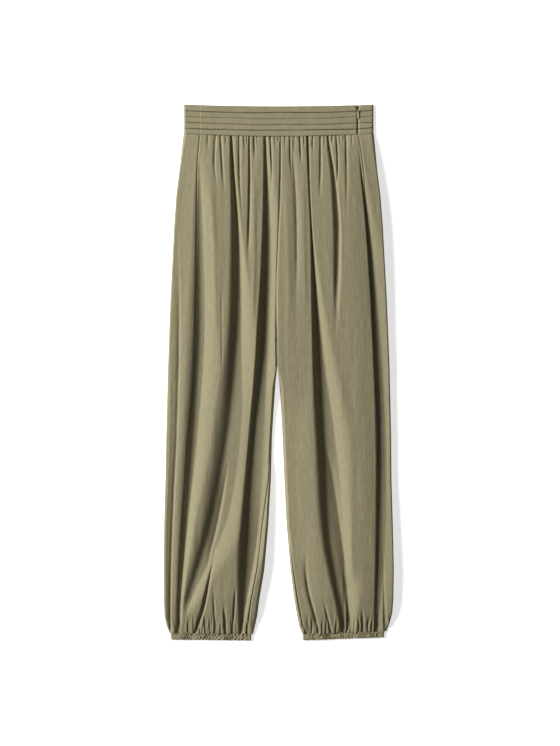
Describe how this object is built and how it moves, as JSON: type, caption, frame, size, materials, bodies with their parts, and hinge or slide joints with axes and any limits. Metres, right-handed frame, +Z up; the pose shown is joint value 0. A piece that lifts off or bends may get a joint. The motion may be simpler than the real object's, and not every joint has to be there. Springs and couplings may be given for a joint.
{
  "type": "baggy trousers",
  "caption": "Baggy cloth trousers laid flat, with a wide tucked waistband, gathered legs, elasticated cuffs and a side zip.",
  "frame": {"origin": "middle of the garment's outline, on the surface that it lies on", "axes": "+X towards the wearer's left, +Y from the hems to the waistband, +Z up off the surface"},
  "size_m": [0.4293, 1, 0.0242],
  "materials": {
    "band_cloth": "crinkled woven cloth with a soft sheen",
    "leg_cloth": "crinkled woven cloth with a soft sheen",
    "cuff_cloth": "gathered woven cloth over elastic",
    "zip_metal": "enamelled to match the cloth"
  },
  "bodies": {
    "trousers": {"waistband_front": "band_cloth", "waistband_back": "band_cloth", "right_front": "leg_cloth", "right_back": "leg_cloth", "left_front": "leg_cloth", "left_back": "leg_cloth", "right_cuff": "cuff_cloth", "left_cuff": "cuff_cloth", "zip_slider": "zip_metal"},
    "zip_pull": {"zip_pull_tab": "zip_metal"}
  },
  "joints": [
    {"name": "pull_tab_hinge", "type": "hinge", "parent": "trousers", "child": "zip_pull", "pos_m": [0.1474, 0.4875, 0.008], "axis": [-1, 0, 0], "range_deg": [0, 150]}
  ]
}
